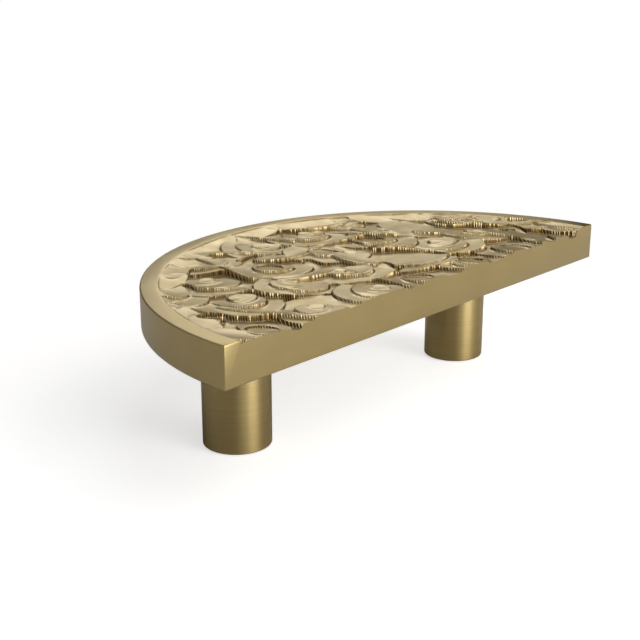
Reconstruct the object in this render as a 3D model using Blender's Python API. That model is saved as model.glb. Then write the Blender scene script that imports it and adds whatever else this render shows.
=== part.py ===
# Half moon drawer pull: a thick half disc of solid brass, its top carved with overlapping scrolls
# inside a plain rim, held off the drawer front by two round posts that it is screwed to.
#
# Metres, +Z up. The feet of the posts stand on z = 0 and the carved face looks up. The straight
# edge of the half disc runs along X at its lowest y, the round edge is at its highest y, and the
# origin is under the middle of the bounding box.

import math
import random
from collections import namedtuple

import bmesh
import bpy

MM = 0.001

# The plate
PLATE_RADIUS = 63.0 * MM
PLATE_THICKNESS = 8.5 * MM
PLATE_EDGE = 0.35 * MM          # width of the broken edge all round the plate
RIM_WIDTH = 3.8 * MM            # the plain flat border along the round edge

# The posts
FINGER_ROOM = 24.2 * MM         # clear height between the drawer front and the plate
POST_DIAMETER = 14.5 * MM
POST_SPACING = 76.2 * MM        # 3 inches between the two screw holes
POST_FROM_STRAIGHT_EDGE = 23.2 * MM
POST_EDGE = 0.4 * MM            # broken edge at both ends of a post

# How post and plate are joined: a headless screw, half in the post and half in the plate
SCREW_DIAMETER = 3.7 * MM       # an M4 thread, drawn 0.3 mm thin so that it clears its hole
SCREW_IN_POST = 9.0 * MM
SCREW_IN_PLATE = 3.7 * MM
SCREW_EDGE = 0.3 * MM
SOCKET_ACROSS_FLATS = 2.0 * MM
SOCKET_DEPTH = 2.4 * MM
SEAT_DEPTH = 0.8 * MM           # the post's top is let into the plate by this much
HOLE_MOUTH = 0.45 * MM          # countersink where a screw enters a foot
CLEARANCE = 0.3 * MM            # gap between pieces that touch on the real pull

# The carving, measured down from the rim
CARVING_DEPTH = 2.1 * MM        # lowest floor
CARVING_TOP = 0.12 * MM         # the highest carved face lies this far below the rim
CARVING_LEAN = math.radians(42) # the way in which most faces fall, anticlockwise from +X
CARVING_SEED = 11
SHAKE = 0.08                    # how far a place strays from its honeycomb, in shares of the pitch

# Broad overlapping scales are the ground of the carving
SCALE_PITCH = 16.5 * MM
SCALE_RADIUS = 10.4 * MM
SCALE_BELOW_RIM = 0.38 * MM     # how far the high side of a scale lies below the rim
SCALE_TILT = math.radians(4.1)

# Most scales carry a scroll: a disc with two smaller discs on it, or with a dish cut into it
SCROLL_SHARE = 0.8
SCROLL_RADIUS = 6.0 * MM
SCROLL_STEP = 0.62 * MM         # how proud the lowest disc stands of its scale
SCROLL_STRAY = 1.2 * MM         # how far its middle lies from the scale's
SCROLL_TURN = 1.9               # how far each smaller disc is turned on from the one below, in radians
DISC_WIDTH = 0.8                # as a share of its length
DISC_TAPER = 0.3
DISC_SKEW = 0.6                 # angle between a disc's length and the way it rises
MIDDLE_DISC = (0.62, 0.8, 1.6 * MM)   # radius and step as shares of the lowest disc's, and drift
TOP_DISC = (0.3, 0.5, 1.2 * MM)
DISH_SHARE = 0.5
DISH_SIZE = 0.66                # its radius as a share of the disc's
DISH_DEPTH = 1.1                # its depth as a share of SCROLL_STEP
DISH_DRIFT = 0.5 * MM

# Leaves lie between the scales, and petals along the rim, to which they rise
LEAF_SHARE = 0.75
LEAF_LENGTH = 19.0 * MM
LEAF_WIDTH = 6.0 * MM
LEAF_BEND = 3.5 * MM
LEAF_BELOW_RIM = 0.2 * MM
LEAF_TILT = math.radians(8)
PETAL_LENGTH = 12.5 * MM
PETAL_WIDTH = 6.5 * MM
PETAL_PITCH = 9.0 * MM
PETAL_BELOW_RIM = 0.4 * MM
PETAL_TILT = math.radians(6)
PETAL_UNDER_RIM = 0.15          # share of a petal's width that runs in under the rim

# Gouges are cut in last
GOUGE_SHARE = 0.5
GOUGE_LENGTH = 7.5 * MM
GOUGE_WIDTH = 3.2 * MM
GOUGE_BEND = 1.2 * MM
GOUGE_DEPTH = 1.5 * MM
GOUGE_TILT = math.radians(6)

# Helper solids run past the plate by this much, and their hidden ends lie this far apart
MARGIN = 4.0 * MM
APART = 0.01 * MM
RING_PAST_CORNER = 0.1          # how far the rim's ring runs on past the plate's corners, in radians

# How round things are drawn
ARC_SIDES = 96                  # the plate's half circle
POST_SIDES = 48
SCREW_SIDES = 24
SCALE_SIDES = 16
DISC_SIDES = 12
LONG_MOTIF = 13.0 * MM          # longer motifs have SCALE_SIDES, shorter ones DISC_SIDES

# Places worked out from the sizes above
STRAIGHT_EDGE_Y = -PLATE_RADIUS / 2
UNDERSIDE_Z = FINGER_ROOM
RIM_Z = FINGER_ROOM + PLATE_THICKNESS
SEAT_Z = UNDERSIDE_Z + SEAT_DEPTH
POST_Y = STRAIGHT_EDGE_Y + POST_FROM_STRAIGHT_EDGE
POST_TOP_Z = SEAT_Z - CLEARANCE
HOLE_RADIUS = SCREW_DIAMETER / 2 + CLEARANCE


def new_object(name, mesh, helper=False):
    made = bpy.data.objects.new(name, mesh)
    bpy.context.scene.collection.objects.link(made)
    if helper:
        made.hide_render = True
        made.display_type = "WIRE"
    return made


def finish_mesh(shape, name):
    """Turns a bmesh into a mesh whose faces point out."""
    bmesh.ops.recalc_face_normals(shape, faces=shape.faces)
    mesh = bpy.data.meshes.new(name)
    shape.to_mesh(mesh)
    shape.free()
    return mesh


def prism(name, outline, bottom, top):
    """A closed prism over an outline of (x, y); bottom and top are heights or functions of (x, y)."""
    def height(level, x, y):
        return level(x, y) if callable(level) else level

    shape = bmesh.new()
    lower = [shape.verts.new((x, y, height(bottom, x, y))) for x, y in outline]
    upper = [shape.verts.new((x, y, height(top, x, y))) for x, y in outline]
    shape.faces.new(lower)
    shape.faces.new(upper)
    for k in range(len(outline)):
        after = (k + 1) % len(outline)
        shape.faces.new((lower[k], lower[after], upper[after], upper[k]))
    return finish_mesh(shape, name)


def turned(name, profile, sides, x, y):
    """Turns a closed profile of (radius, z) round the upright axis at x, y; radius 0 is the axis."""
    shape = bmesh.new()
    rings = []
    for radius, z in profile:
        if radius == 0:
            rings.append([shape.verts.new((x, y, z))] * sides)
            continue
        ring = []
        for k in range(sides):
            turn = 2 * math.pi * k / sides
            ring.append(shape.verts.new((x + radius * math.cos(turn), y + radius * math.sin(turn), z)))
        rings.append(ring)
    for here, there in zip(rings, rings[1:] + rings[:1]):
        for k in range(sides):
            after = (k + 1) % sides
            corners = list(dict.fromkeys((here[k], here[after], there[after], there[k])))
            if len(corners) > 2:
                shape.faces.new(corners)
    return finish_mesh(shape, name)


def arc(radius, start, end, sides):
    """Points of a circular arc about the middle of the straight edge."""
    turns = [start + (end - start) * k / sides for k in range(sides + 1)]
    return [(radius * math.cos(t), STRAIGHT_EDGE_Y + radius * math.sin(t)) for t in turns]


def combine(target, operation, other):
    """Adds a Boolean modifier; other is an object or a collection of helpers."""
    boolean = target.modifiers.new(operation.lower(), "BOOLEAN")
    boolean.solver = "EXACT"
    boolean.operation = operation
    if isinstance(other, bpy.types.Collection):
        boolean.operand_type = "COLLECTION"
        boolean.collection = other
    else:
        boolean.object = other


def brass(name, colour, roughness):
    material = bpy.data.materials.new(name)
    material.use_nodes = True
    shader = material.node_tree.nodes["Principled BSDF"]
    shader.inputs["Base Color"].default_value = (*colour, 1)
    shader.inputs["Metallic"].default_value = 1
    shader.inputs["Roughness"].default_value = roughness
    return material


# The carving's rule. Each motif is a bent egg with a flat, tilted face: x, y is its middle, level
# its height there above the rim (so below it is negative), and rise_x, rise_y its slope.
Motif = namedtuple("Motif", "x y length width taper bend heading level rise_x rise_y")


def face_height(motif, x, y):
    return motif.level + motif.rise_x * (x - motif.x) + motif.rise_y * (y - motif.y)


def motif_outline(motif, sides):
    points = []
    for k in range(sides):
        turn = 2 * math.pi * k / sides
        along = math.cos(turn)
        across = motif.width / 2 * math.sin(turn) * (1 + motif.taper * along)
        across += motif.bend * (along * along - 0.4)
        along *= motif.length / 2
        points.append((
            motif.x + along * math.cos(motif.heading) - across * math.sin(motif.heading),
            motif.y + along * math.sin(motif.heading) + across * math.cos(motif.heading),
        ))
    return points


def tilted(x, y, length, width, heading, level, tilt, fall, taper=0.0, bend=0.0):
    """A motif whose face falls by tilt, in radians, towards the direction fall."""
    steepness = math.tan(tilt)
    return Motif(x, y, length, width, taper, bend, heading, level,
                 -steepness * math.cos(fall), -steepness * math.sin(fall))


def riding_disc(base, x, y, radius, step, towards):
    """An egg-shaped disc that stands proud of the face under it by step on one side and runs into
    it opposite."""
    lean = step / (2 * radius)
    return Motif(x, y, 2 * radius, 2 * radius * DISC_WIDTH, DISC_TAPER, 0.0, towards + DISC_SKEW,
                 face_height(base, x, y) + step / 2,
                 base.rise_x + lean * math.cos(towards), base.rise_y + lean * math.sin(towards))


def chosen(share, vary):
    return 0.5 + 0.5 * vary() < share


def variation(layer, row, column=0):
    """Gives each place in the carving its own run of numbers from -1 to 1, the same in every build."""
    draw = random.Random(CARVING_SEED + 10000 * layer + 100 * row + column)
    return lambda: draw.uniform(-1, 1)


def honeycomb(layer, across, up, reach):
    """Places on a shaken honeycomb over the half disc, each with its own variation. across and up
    move the whole honeycomb, in shares of its pitch and of its rows."""
    row_pitch = SCALE_PITCH * math.sqrt(3) / 2
    columns = int(PLATE_RADIUS / SCALE_PITCH) + 2
    for row in range(-1, int(PLATE_RADIUS / row_pitch) + 2):
        for column in range(-columns, columns + 1):
            vary = variation(layer, row, column)
            x = (column + 0.5 * (row % 2) + across + SHAKE * vary()) * SCALE_PITCH
            y = (row + up + SHAKE * vary()) * row_pitch
            if math.hypot(x, y) < reach and y > -SCALE_PITCH / 2:
                yield x, STRAIGHT_EDGE_Y + y, vary


def scale(x, y, vary):
    """A broad scale: the ground that the scrolls stand on."""
    tilt = SCALE_TILT * (1 + 0.42 * vary())
    fall = CARVING_LEAN + 1.3 * vary()
    radius = SCALE_RADIUS * (1 + 0.1 * vary())
    level = -SCALE_BELOW_RIM * (1 - 0.43 * vary()) - math.tan(tilt) * 0.9 * radius
    heading = fall + 1.2 * vary()
    return tilted(x, y, 2 * radius, 1.76 * radius, heading, level, tilt, fall, 0.25 * vary())


def scroll(base, vary):
    """A disc stepped up on a scale, which carries either two smaller discs, each off centre and
    turned on like an opening rose, or a dish cut into it. Returns the raised and the sunk motifs."""
    towards = CARVING_LEAN + math.pi + 1.4 * vary()
    radius = SCROLL_RADIUS * (1 + 0.12 * vary())
    x = base.x + SCROLL_STRAY * vary()
    y = base.y + SCROLL_STRAY * vary()
    discs = [riding_disc(base, x, y, radius, SCROLL_STEP, towards)]
    turn = math.copysign(SCROLL_TURN, vary())
    if chosen(DISH_SHARE, vary):
        x = discs[0].x + DISH_DRIFT * math.cos(towards)
        y = discs[0].y + DISH_DRIFT * math.sin(towards)
        rises = towards + math.pi + 0.5 * vary()
        return discs, [riding_disc(discs[0], x, y, DISH_SIZE * radius, -DISH_DEPTH * SCROLL_STEP, rises)]
    for size, step, drift in (MIDDLE_DISC, TOP_DISC):
        towards += turn
        x = discs[-1].x + drift * math.cos(towards)
        y = discs[-1].y + drift * math.sin(towards)
        discs.append(riding_disc(discs[-1], x, y, size * radius, step * SCROLL_STEP, towards))
    return discs, []


def leaf(x, y, vary):
    """A long curled leaf whose near side is a tall wall."""
    tilt = LEAF_TILT * (1 + 0.27 * vary())
    width = LEAF_WIDTH * (1 + 0.15 * vary())
    heading = CARVING_LEAN + math.pi / 2 + 1.0 * vary()
    fall = heading - math.pi / 2 + 0.25 * vary()
    level = -LEAF_BELOW_RIM * (1 - 0.5 * vary()) - math.tan(tilt) * width / 2
    length = LEAF_LENGTH * (1 + 0.2 * vary())
    taper = math.copysign(0.4, vary())
    return tilted(x, y, length, width, heading, level, tilt, fall, taper, LEAF_BEND * vary())


def petal(turn, vary):
    """A broad petal that lies along the rim and rises to it."""
    reach = PLATE_RADIUS - RIM_WIDTH - (0.5 - PETAL_UNDER_RIM) * PETAL_WIDTH
    x = reach * math.cos(turn)
    y = STRAIGHT_EDGE_Y + reach * math.sin(turn)
    length = PETAL_LENGTH * (1 + 0.15 * vary())
    width = PETAL_WIDTH * (1 + 0.15 * vary())
    heading = turn + math.pi / 2 + 0.6 * vary()
    level = -PETAL_BELOW_RIM * (1 - 0.24 * vary())
    tilt = PETAL_TILT * (1 + 0.33 * vary())
    return tilted(x, y, length, width, heading, level, tilt, turn + math.pi + 0.5 * vary())


def gouge(x, y, vary):
    """A short deep cut between the scrolls."""
    length = GOUGE_LENGTH * (1 + 0.3 * vary())
    width = GOUGE_WIDTH * (1 + 0.2 * vary())
    heading = CARVING_LEAN + math.pi / 2 + 1.2 * vary()
    level = -GOUGE_DEPTH * (1 - 0.13 * vary())
    tilt = -GOUGE_TILT * (1 + 0.33 * vary())
    fall = CARVING_LEAN + 0.6 * vary()
    return tilted(x, y, length, width, heading, level, tilt, fall, 0.3, GOUGE_BEND * vary())


def carving_motifs():
    """All the motifs that stand up and all those that are cut in."""
    raised = []
    sunk = []
    reach = PLATE_RADIUS - RIM_WIDTH / 2
    for x, y, vary in honeycomb(1, 0, 0.3, reach):
        ground = scale(x, y, vary)
        raised.append(ground)
        if chosen(SCROLL_SHARE, vary):
            discs, dishes = scroll(ground, vary)
            raised += discs
            sunk += dishes
    for x, y, vary in honeycomb(2, 0.5, 0.63, reach):
        if chosen(LEAF_SHARE, vary):
            raised.append(leaf(x, y, vary))
    petals = round(math.pi * PLATE_RADIUS / PETAL_PITCH)
    for k in range(petals):
        vary = variation(4, k)
        raised.append(petal(math.pi * (k + 0.5 + 0.15 * vary()) / petals, vary))
    for x, y, vary in honeycomb(3, 0, 0.97, reach - GOUGE_WIDTH):
        if y > STRAIGHT_EDGE_Y + GOUGE_LENGTH / 2 and chosen(GOUGE_SHARE, vary):
            sunk.append(gouge(x, y, vary))
    return raised, sunk


def carved_block():
    """The carving as a block that is larger than the plate all round, with the rim standing on it."""
    floor_z = RIM_Z - CARVING_DEPTH
    below_z = UNDERSIDE_Z - MARGIN
    side = PLATE_RADIUS + MARGIN
    near, far = STRAIGHT_EDGE_Y - MARGIN, STRAIGHT_EDGE_Y + PLATE_RADIUS + MARGIN
    square = [(-side, near), (side, near), (side, far), (-side, far)]
    block = new_object("carved_block", prism("carved_block", square, below_z, floor_z), helper=True)

    raised = bpy.data.collections.new("raised_motifs")
    raised_motifs, sunk_motifs = carving_motifs()
    for k, motif in enumerate(raised_motifs):
        sides = SCALE_SIDES if motif.length > LONG_MOTIF else DISC_SIDES
        # Each prism ends at a depth of its own inside the block, so no two ends lie in one plane.
        end_z = (floor_z + below_z) / 2 - APART * k
        mesh = prism("raised_motif", motif_outline(motif, sides), end_z,
                     lambda x, y, motif=motif: RIM_Z + face_height(motif, x, y))
        raised.objects.link(new_object("raised_motif", mesh, helper=True))
    combine(block, "UNION", raised)

    sunk = bpy.data.collections.new("sunk_motifs")
    lowest = -CARVING_DEPTH + 5 * APART
    for k, motif in enumerate(sunk_motifs):
        mesh = prism("sunk_motif", motif_outline(motif, DISC_SIDES),
                     lambda x, y, motif=motif: RIM_Z + max(face_height(motif, x, y), lowest),
                     RIM_Z + MARGIN + APART * k)
        sunk.objects.link(new_object("sunk_motif", mesh, helper=True))
    lid = [(1.1 * x, 1.1 * y) for x, y in square]
    lid_mesh = prism("lid", lid, RIM_Z - CARVING_TOP, RIM_Z + 2 * MARGIN)
    sunk.objects.link(new_object("lid", lid_mesh, helper=True))
    combine(block, "DIFFERENCE", sunk)

    start, end = -RING_PAST_CORNER, math.pi + RING_PAST_CORNER
    outer = arc(PLATE_RADIUS + MARGIN / 2, start, end, ARC_SIDES)
    inner = arc(PLATE_RADIUS - RIM_WIDTH, start, end, ARC_SIDES)
    rim = prism("rim", outer + inner[::-1], below_z + MARGIN / 2, RIM_Z + MARGIN / 2)
    combine(block, "UNION", new_object("rim", rim, helper=True))
    return block


def relief_plate(finish):
    """The half disc with broken edges, carved on top and drilled underneath for posts and screws."""
    mesh = prism("relief_plate", arc(PLATE_RADIUS, 0, math.pi, ARC_SIDES), UNDERSIDE_Z, RIM_Z)
    plate = new_object("relief_plate", mesh)
    edges = plate.modifiers.new("broken_edges", "BEVEL")
    edges.width = PLATE_EDGE
    edges.segments = 2
    edges.limit_method = "ANGLE"
    edges.angle_limit = math.radians(40)
    combine(plate, "INTERSECT", carved_block())

    drilled = bpy.data.collections.new("drilled")
    seat_radius = POST_DIAMETER / 2 + CLEARANCE
    hole_top = SEAT_Z + SCREW_IN_PLATE + CLEARANCE
    for x in (-POST_SPACING / 2, POST_SPACING / 2):
        profile = [(0, UNDERSIDE_Z - MM), (seat_radius, UNDERSIDE_Z - MM), (seat_radius, SEAT_Z),
                   (HOLE_RADIUS, SEAT_Z), (HOLE_RADIUS, hole_top), (0, hole_top)]
        cutter = turned("seat_and_hole", profile, POST_SIDES, x, POST_Y)
        drilled.objects.link(new_object("seat_and_hole", cutter, helper=True))
    combine(plate, "DIFFERENCE", drilled)
    plate.data.materials.append(finish)
    return plate


def post(name, x, finish):
    """A turned post, drilled and tapped from end to end."""
    outer = POST_DIAMETER / 2
    mouth = HOLE_RADIUS + HOLE_MOUTH
    profile = [(mouth, 0), (outer - POST_EDGE, 0), (outer, POST_EDGE), (outer, POST_TOP_Z - POST_EDGE),
               (outer - POST_EDGE, POST_TOP_Z), (mouth, POST_TOP_Z), (HOLE_RADIUS, POST_TOP_Z - HOLE_MOUTH),
               (HOLE_RADIUS, HOLE_MOUTH)]
    made = new_object(name, turned(name, profile, POST_SIDES, x, POST_Y))
    made.data.materials.append(finish)
    return made


def joining_screw(name, x, finish):
    """A headless screw with a hexagon socket at its lower end."""
    radius = SCREW_DIAMETER / 2
    bottom = SEAT_Z - SCREW_IN_POST
    top = SEAT_Z + SCREW_IN_PLATE
    profile = [(0, bottom), (radius - SCREW_EDGE, bottom), (radius, bottom + SCREW_EDGE),
               (radius, top - SCREW_EDGE), (radius - SCREW_EDGE, top), (0, top)]
    made = new_object(name, turned(name, profile, SCREW_SIDES, x, POST_Y))
    corner = SOCKET_ACROSS_FLATS / math.sqrt(3)
    turns = [math.radians(60 * k) for k in range(6)]
    corners = [(x + corner * math.cos(turn), POST_Y + corner * math.sin(turn)) for turn in turns]
    socket = prism("socket", corners, bottom - MM, bottom + SOCKET_DEPTH)
    combine(made, "DIFFERENCE", new_object("socket", socket, helper=True))
    made.data.materials.append(finish)
    return made


def smooth(made):
    made.data.shade_smooth()
    made.data.set_sharp_from_angle(angle=math.radians(30))


def build():
    for old in list(bpy.data.objects):
        bpy.data.objects.remove(old)
    satin_brass = brass("satin_brass", (0.58, 0.46, 0.25), 0.36)
    brushed_brass = brass("brushed_brass", (0.55, 0.43, 0.23), 0.34)
    zinc_plated_steel = brass("zinc_plated_steel", (0.62, 0.63, 0.64), 0.35)
    made = [relief_plate(satin_brass)]
    for side, x in (("left", -POST_SPACING / 2), ("right", POST_SPACING / 2)):
        made.append(post(side + "_post", x, brushed_brass))
        made.append(joining_screw(side + "_joining_screw", x, zinc_plated_steel))
    for piece in made:
        smooth(piece)


build()
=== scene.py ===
# Half moon drawer pull in satin brass: a carved half disc on two turned posts, each held by a
# headless screw. Metres, +Z up, feet on z = 0, the straight edge along X at the lowest y.

import math
import random
from collections import namedtuple

import bmesh
import bpy
import numpy as np
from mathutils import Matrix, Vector


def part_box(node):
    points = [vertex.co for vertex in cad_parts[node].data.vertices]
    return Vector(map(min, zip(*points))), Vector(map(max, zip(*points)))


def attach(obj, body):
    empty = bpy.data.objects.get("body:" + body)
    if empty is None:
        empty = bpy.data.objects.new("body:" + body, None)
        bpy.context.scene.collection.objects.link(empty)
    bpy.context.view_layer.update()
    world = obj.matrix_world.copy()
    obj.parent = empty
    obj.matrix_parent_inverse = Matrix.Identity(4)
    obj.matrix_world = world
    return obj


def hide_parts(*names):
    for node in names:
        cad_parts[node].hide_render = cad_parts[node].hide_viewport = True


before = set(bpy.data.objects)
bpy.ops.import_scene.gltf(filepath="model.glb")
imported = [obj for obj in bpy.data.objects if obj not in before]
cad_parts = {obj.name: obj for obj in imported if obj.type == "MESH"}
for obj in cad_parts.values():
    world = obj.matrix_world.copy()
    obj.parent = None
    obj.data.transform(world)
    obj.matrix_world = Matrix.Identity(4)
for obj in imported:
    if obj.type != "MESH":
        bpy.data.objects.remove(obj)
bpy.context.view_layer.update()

MM = 0.001

# The relief plate: a half disc cut from 8.5 mm brass plate. Its top is carved with a small ball
# cutter that runs in rows and leaves a flute on every wall, and a plain rim follows the round edge.
# Two seats and two tapped blind holes underneath take the posts and their screws.
plate_low, plate_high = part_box("relief_plate")
PLATE_RADIUS = plate_high.y - plate_low.y
STRAIGHT_EDGE_Y = plate_low.y
UNDERSIDE_Z = plate_low.z
RIM_Z = plate_high.z
PLATE_EDGE = 0.35 * MM
RIM_WIDTH = 3.8 * MM
ARC_SIDES = 240
PAST_EDGE = 2 * MM              # how far a blank runs past the plate before it is cut to shape
UNDER_RIM = 2.5 * MM            # how far the carved block runs in under the rim
RIM_INSET = 0.3 * MM            # the ring that makes the rim starts this far outside the carving

# The carving, measured down from the rim
CARVING_DEPTH = 2.1 * MM
CARVING_TOP = 0.12 * MM
CARVING_LEAN = math.radians(42) # the way in which most faces fall, anticlockwise from +X
CARVING_SEED = 11
SHAKE = 0.08                    # how far a place strays from its honeycomb, in shares of the pitch
SCALE_PITCH = 16.5 * MM
SCALE_RADIUS = 10.4 * MM
SCALE_BELOW_RIM = 0.38 * MM
SCALE_TILT = math.radians(4.1)
SCROLL_SHARE = 0.8
SCROLL_RADIUS = 6.0 * MM
SCROLL_STEP = 0.62 * MM         # how proud the lowest disc stands of its scale
SCROLL_STRAY = 1.2 * MM
SCROLL_TURN = 1.9               # how far each smaller disc is turned on from the one below, in radians
DISC_WIDTH = 0.8                # as a share of its length
DISC_TAPER = 0.3
DISC_SKEW = 0.6                 # angle between a disc's length and the way it rises
MIDDLE_DISC = (0.62, 0.8, 1.6 * MM)   # radius and step as shares of the lowest disc's, and drift
TOP_DISC = (0.3, 0.5, 1.2 * MM)
DISH_SHARE = 0.5
DISH_SIZE = 0.66
DISH_DEPTH = 1.1
DISH_DRIFT = 0.5 * MM
LEAF_SHARE = 0.75
LEAF_LENGTH = 19.0 * MM
LEAF_WIDTH = 6.0 * MM
LEAF_BEND = 3.5 * MM
LEAF_BELOW_RIM = 0.2 * MM
LEAF_TILT = math.radians(8)
PETAL_LENGTH = 12.5 * MM
PETAL_WIDTH = 6.5 * MM
PETAL_PITCH = 9.0 * MM
PETAL_BELOW_RIM = 0.4 * MM
PETAL_TILT = math.radians(6)
PETAL_UNDER_RIM = 0.15
GOUGE_SHARE = 0.5
GOUGE_LENGTH = 7.5 * MM
GOUGE_WIDTH = 3.2 * MM
GOUGE_BEND = 1.2 * MM
GOUGE_DEPTH = 1.5 * MM
GOUGE_TILT = math.radians(6)
FACE_HOLLOW = 0.24 * MM         # the faces are hollowed by up to this much

# The cutter
CUTTER_RADIUS = 0.65 * MM
ROW_TURN = math.radians(60)     # its rows run in this direction, anticlockwise from +X
GRID_STEP = 0.15 * MM
STEPS_PER_ROW = 3
ROW_PITCH = GRID_STEP * STEPS_PER_ROW
LEAST_CUSP = 0.05 * MM          # a lower cusp between two rows is blasted away
RIM_LIP = 0.02 * MM             # the carving ends this far below the rim

# The seats and the M4 thread that each post and its screw share with the plate
CLEARANCE = 0.3 * MM            # the gap that the frame keeps between pieces that touch
THREAD_PITCH = 0.7 * MM
THREAD_DEPTH = 0.43 * MM
RINGS_PER_TURN = 6
BORE_MOUTH = 0.45 * MM
SEAT_SIDES = 96
CARVED_TRIANGLES = 180000

# Each motif is a bent egg with a tilted face: x, y is its middle, level its height there above the
# rim (so below it is negative), and rise_x, rise_y its slope.
Motif = namedtuple("Motif", "x y length width taper bend heading level rise_x rise_y")


def face_height(motif, x, y):
    return motif.level + motif.rise_x * (x - motif.x) + motif.rise_y * (y - motif.y)


def tilted(x, y, length, width, heading, level, tilt, fall, taper=0.0, bend=0.0):
    """A motif whose face falls by tilt, in radians, towards the direction fall."""
    steepness = math.tan(tilt)
    return Motif(x, y, length, width, taper, bend, heading, level,
                 -steepness * math.cos(fall), -steepness * math.sin(fall))


def riding_disc(base, x, y, radius, step, towards):
    """An egg-shaped disc that stands proud of the face under it by step on one side and runs into
    it opposite."""
    lean = step / (2 * radius)
    return Motif(x, y, 2 * radius, 2 * radius * DISC_WIDTH, DISC_TAPER, 0.0, towards + DISC_SKEW,
                 face_height(base, x, y) + step / 2,
                 base.rise_x + lean * math.cos(towards), base.rise_y + lean * math.sin(towards))


def chosen(share, vary):
    return 0.5 + 0.5 * vary() < share


def variation(layer, row, column=0):
    """Gives each place in the carving its own run of numbers from -1 to 1, the same in every run."""
    draw = random.Random(CARVING_SEED + 10000 * layer + 100 * row + column)
    return lambda: draw.uniform(-1, 1)


def honeycomb(layer, across, up, reach):
    """Places on a shaken honeycomb over the half disc, each with its own variation. across and up
    move the whole honeycomb, in shares of its pitch and of its rows."""
    row_pitch = SCALE_PITCH * math.sqrt(3) / 2
    columns = int(PLATE_RADIUS / SCALE_PITCH) + 2
    for row in range(-1, int(PLATE_RADIUS / row_pitch) + 2):
        for column in range(-columns, columns + 1):
            vary = variation(layer, row, column)
            x = (column + 0.5 * (row % 2) + across + SHAKE * vary()) * SCALE_PITCH
            y = (row + up + SHAKE * vary()) * row_pitch
            if math.hypot(x, y) < reach and y > -SCALE_PITCH / 2:
                yield x, STRAIGHT_EDGE_Y + y, vary


def scale(x, y, vary):
    """A broad scale: the ground that the scrolls stand on."""
    tilt = SCALE_TILT * (1 + 0.42 * vary())
    fall = CARVING_LEAN + 1.3 * vary()
    radius = SCALE_RADIUS * (1 + 0.1 * vary())
    level = -SCALE_BELOW_RIM * (1 - 0.43 * vary()) - math.tan(tilt) * 0.9 * radius
    heading = fall + 1.2 * vary()
    return tilted(x, y, 2 * radius, 1.76 * radius, heading, level, tilt, fall, 0.25 * vary())


def scroll(base, vary):
    """A disc stepped up on a scale, which carries either two smaller discs, each off centre and
    turned on like an opening rose, or a dish cut into it. Returns the raised and the sunk motifs."""
    towards = CARVING_LEAN + math.pi + 1.4 * vary()
    radius = SCROLL_RADIUS * (1 + 0.12 * vary())
    x = base.x + SCROLL_STRAY * vary()
    y = base.y + SCROLL_STRAY * vary()
    discs = [riding_disc(base, x, y, radius, SCROLL_STEP, towards)]
    turn = math.copysign(SCROLL_TURN, vary())
    if chosen(DISH_SHARE, vary):
        x = discs[0].x + DISH_DRIFT * math.cos(towards)
        y = discs[0].y + DISH_DRIFT * math.sin(towards)
        rises = towards + math.pi + 0.5 * vary()
        return discs, [riding_disc(discs[0], x, y, DISH_SIZE * radius, -DISH_DEPTH * SCROLL_STEP, rises)]
    for size, step, drift in (MIDDLE_DISC, TOP_DISC):
        towards += turn
        x = discs[-1].x + drift * math.cos(towards)
        y = discs[-1].y + drift * math.sin(towards)
        discs.append(riding_disc(discs[-1], x, y, size * radius, step * SCROLL_STEP, towards))
    return discs, []


def leaf(x, y, vary):
    """A long curled leaf whose near side is a tall wall."""
    tilt = LEAF_TILT * (1 + 0.27 * vary())
    width = LEAF_WIDTH * (1 + 0.15 * vary())
    heading = CARVING_LEAN + math.pi / 2 + 1.0 * vary()
    fall = heading - math.pi / 2 + 0.25 * vary()
    level = -LEAF_BELOW_RIM * (1 - 0.5 * vary()) - math.tan(tilt) * width / 2
    length = LEAF_LENGTH * (1 + 0.2 * vary())
    taper = math.copysign(0.4, vary())
    return tilted(x, y, length, width, heading, level, tilt, fall, taper, LEAF_BEND * vary())


def petal(turn, vary):
    """A broad petal that lies along the rim and rises to it."""
    reach = PLATE_RADIUS - RIM_WIDTH - (0.5 - PETAL_UNDER_RIM) * PETAL_WIDTH
    x = reach * math.cos(turn)
    y = STRAIGHT_EDGE_Y + reach * math.sin(turn)
    length = PETAL_LENGTH * (1 + 0.15 * vary())
    width = PETAL_WIDTH * (1 + 0.15 * vary())
    heading = turn + math.pi / 2 + 0.6 * vary()
    level = -PETAL_BELOW_RIM * (1 - 0.24 * vary())
    tilt = PETAL_TILT * (1 + 0.33 * vary())
    return tilted(x, y, length, width, heading, level, tilt, turn + math.pi + 0.5 * vary())


def gouge(x, y, vary):
    """A short deep cut between the scrolls."""
    length = GOUGE_LENGTH * (1 + 0.3 * vary())
    width = GOUGE_WIDTH * (1 + 0.2 * vary())
    heading = CARVING_LEAN + math.pi / 2 + 1.2 * vary()
    level = -GOUGE_DEPTH * (1 - 0.13 * vary())
    tilt = -GOUGE_TILT * (1 + 0.33 * vary())
    fall = CARVING_LEAN + 0.6 * vary()
    return tilted(x, y, length, width, heading, level, tilt, fall, 0.3, GOUGE_BEND * vary())


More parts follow.
